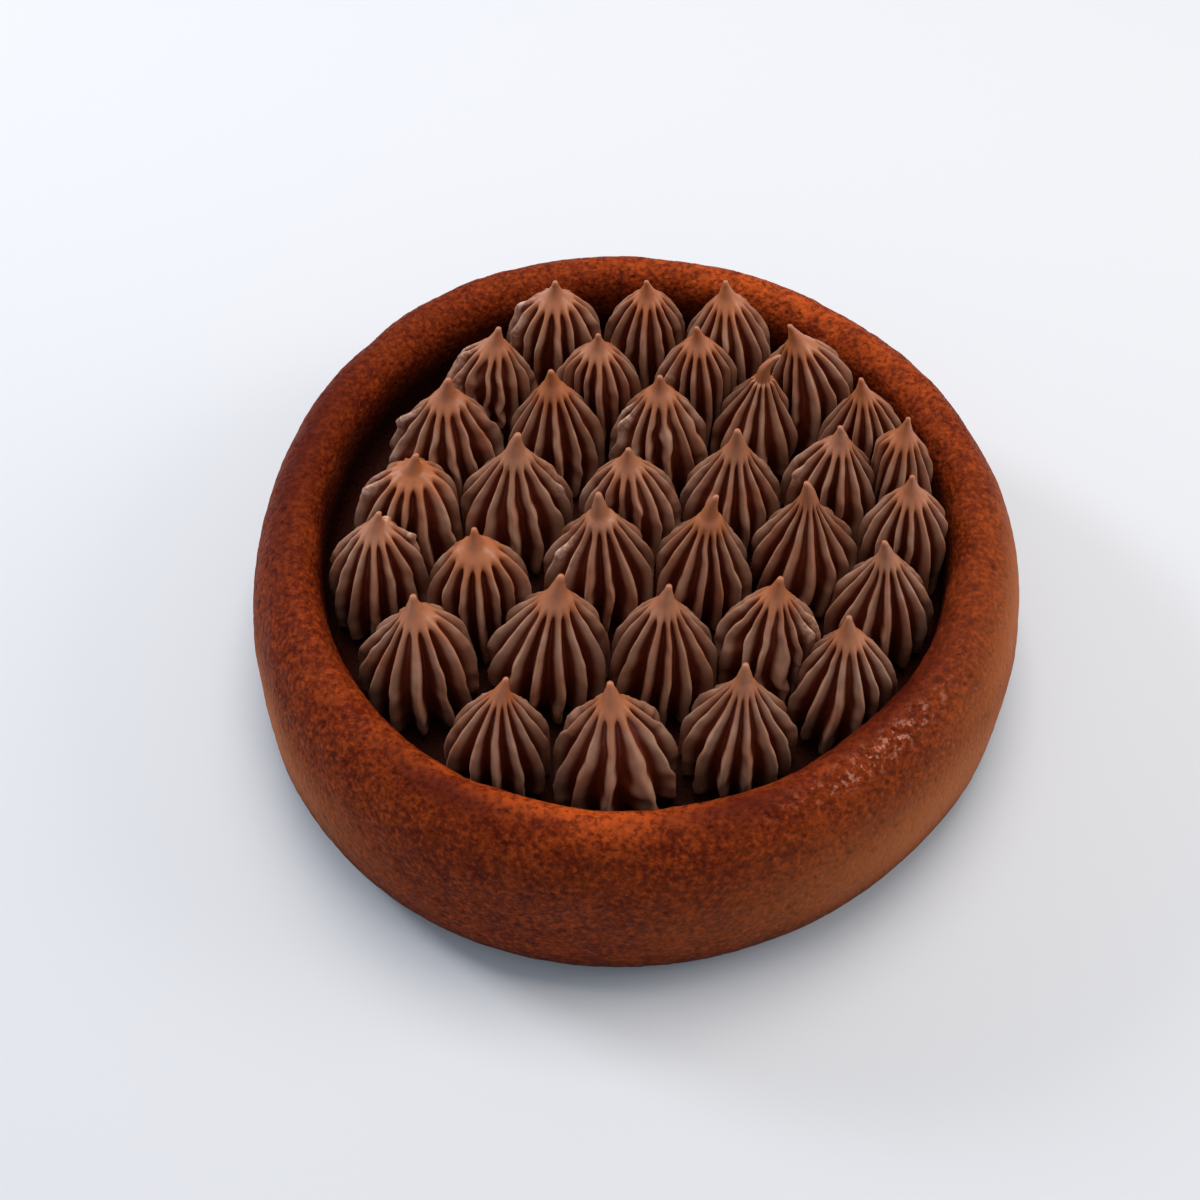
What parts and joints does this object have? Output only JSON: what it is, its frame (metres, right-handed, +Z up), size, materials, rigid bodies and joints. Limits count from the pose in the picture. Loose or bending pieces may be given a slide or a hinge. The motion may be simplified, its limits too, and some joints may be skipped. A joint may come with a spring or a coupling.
{
  "type": "chocolate cake",
  "caption": "Low round chocolate sponge with a rounded raised rim, its sunken top filled with piped ridged chocolate stars.",
  "frame": {"origin": "middle of the flat underside, at the centre of the bounding box's bottom face", "axes": "+Z up through the star tips, -Y towards the viewer of the picture, +X to the right"},
  "size_m": [0.197, 0.203, 0.0652],
  "materials": {
    "crust": "baked chocolate sponge crust, open pores, dull with a faint sheen on the rim",
    "piped_chocolate": "soft piped chocolate, smooth and half glossy"
  },
  "bodies": {
    "root": {"cake": "crust", "star_01": "piped_chocolate", "star_02": "piped_chocolate", "star_03": "piped_chocolate", "star_04": "piped_chocolate", "star_05": "piped_chocolate", "star_06": "piped_chocolate", "star_07": "piped_chocolate", "star_08": "piped_chocolate", "star_09": "piped_chocolate", "star_10": "piped_chocolate", "star_11": "piped_chocolate", "star_12": "piped_chocolate", "star_13": "piped_chocolate", "star_14": "piped_chocolate", "star_15": "piped_chocolate", "star_16": "piped_chocolate", "star_17": "piped_chocolate", "star_18": "piped_chocolate", "star_19": "piped_chocolate", "star_20": "piped_chocolate", "star_21": "piped_chocolate", "star_22": "piped_chocolate", "star_23": "piped_chocolate", "star_24": "piped_chocolate", "star_25": "piped_chocolate", "star_26": "piped_chocolate", "star_27": "piped_chocolate", "star_28": "piped_chocolate", "star_29": "piped_chocolate", "star_30": "piped_chocolate", "star_31": "piped_chocolate", "star_32": "piped_chocolate", "star_33": "piped_chocolate"}
  },
  "joints": []
}
